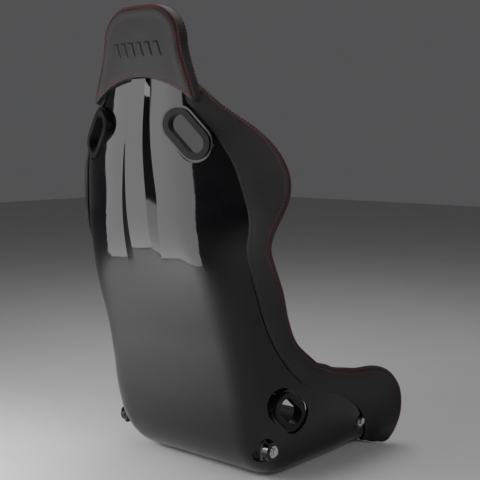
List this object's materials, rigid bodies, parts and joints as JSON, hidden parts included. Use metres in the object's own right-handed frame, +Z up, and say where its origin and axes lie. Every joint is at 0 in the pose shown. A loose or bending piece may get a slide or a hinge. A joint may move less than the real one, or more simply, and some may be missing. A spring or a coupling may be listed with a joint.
{
  "type": "racing seat",
  "caption": "Fixed-back bucket racing seat with a gloss moulded shell, leather-look rim covers, harness slots with oval grommets, lift-out cushions and side mounts.",
  "frame": {"origin": "on the floor plane under the middle of the seat's bounding box", "axes": "+Z up, X across the seat (its mirror axis), the occupant faces -Y"},
  "size_m": [0.5578, 0.5716, 0.925],
  "materials": {
    "shell": "gloss black gel coat over glass fibre",
    "cover": "fine-grain black leatherette, deep red stitching",
    "pad": "fine-grain black leatherette over foam",
    "cushion": "black brushed suede cloth over foam, red stitching",
    "lining": "black suede cloth",
    "strips": "black hook and loop tape",
    "grommet": "satin dark grey",
    "plates": "black-painted steel",
    "bolts": "bright zinc-plated steel",
    "washers": "bright zinc-plated steel"
  },
  "bodies": {
    "shell": {"seat_shell": "shell", "headrest_cover": "cover", "rim_cover_left": "cover", "rim_cover_right": "cover", "shoulder_pad_left": "pad", "shoulder_pad_right": "pad", "rib_pad_left": "pad", "rib_pad_right": "pad", "thigh_pad_left": "pad", "thigh_pad_right": "pad", "headrest_pad": "pad", "front_roll": "cover", "back_lining": "lining", "seat_lining": "lining", "hook_strips": "strips", "shoulder_grommet_rear_left": "grommet", "shoulder_grommet_rear_right": "grommet", "shoulder_grommet_front_left": "grommet", "shoulder_grommet_front_right": "grommet", "lap_grommet_outer_left": "grommet", "lap_grommet_outer_right": "grommet", "lap_grommet_inner_left": "grommet", "lap_grommet_inner_right": "grommet", "crotch_grommet": "grommet", "mount_plates": "plates", "mount_bolts": "bolts", "mount_washers": "washers"},
    "seat_cushion": {"seat_cushion": "cushion"},
    "thigh_cushion": {"thigh_cushion": "cushion"},
    "back_cushion": {"back_cushion": "cushion"}
  },
  "joints": [
    {"name": "seat_cushion_lift", "type": "slide", "parent": "shell", "child": "seat_cushion", "axis": [0, 0, 1], "range_m": [0, 0.08]},
    {"name": "thigh_cushion_lift", "type": "slide", "parent": "shell", "child": "thigh_cushion", "axis": [0, 0, 1], "range_m": [0, 0.08]},
    {"name": "back_cushion_pull", "type": "slide", "parent": "shell", "child": "back_cushion", "axis": [0, -1, 0], "range_m": [0, 0.06]}
  ]
}
